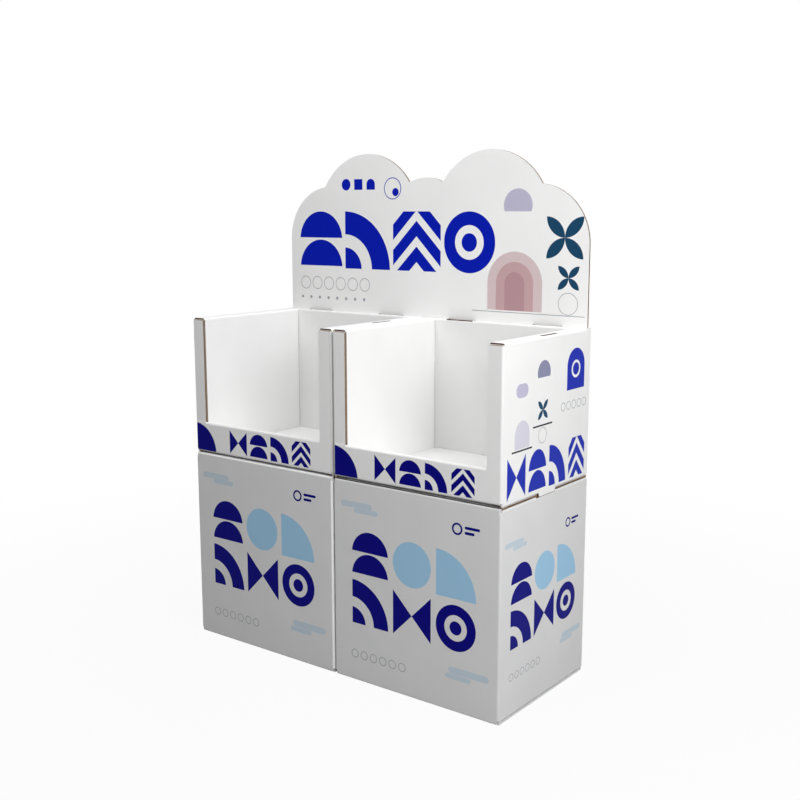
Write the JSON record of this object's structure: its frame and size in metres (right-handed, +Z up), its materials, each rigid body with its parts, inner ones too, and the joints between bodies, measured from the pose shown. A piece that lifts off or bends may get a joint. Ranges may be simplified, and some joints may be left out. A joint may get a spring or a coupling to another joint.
{
  "type": "cardboard display stand",
  "caption": "Free-standing corrugated card display: closed cartons side by side carry open-fronted trays with hollow walls, and a scalloped header card stands behind them.",
  "frame": {"origin": "bottom centre of the whole stand, on the floor, midway between the cartons and midway in depth", "axes": "+X to the right as a shopper sees it, -Y towards the shopper, +Z up"},
  "size_m": [0.803, 0.33, 1.0766],
  "materials": {
    "carton_board": "clay-coated printed corrugated board, light grey, raw brown edges",
    "tray_board": "clay-coated printed corrugated board, white, raw brown edges",
    "floor_board": "clay-coated corrugated board, white",
    "header_board": "clay-coated printed corrugated board, white, raw brown edges",
    "rib_board": "plain brown corrugated board"
  },
  "bodies": {
    "root": {"base_box_left": "carton_board", "base_rib_long_left": "rib_board", "base_rib_cross_left": "rib_board", "tray_left": "tray_board", "tray_floor_left": "floor_board", "base_box_right": "carton_board", "base_rib_long_right": "rib_board", "base_rib_cross_right": "rib_board", "tray_right": "tray_board", "tray_floor_right": "floor_board", "header_card": "header_board"}
  },
  "joints": []
}
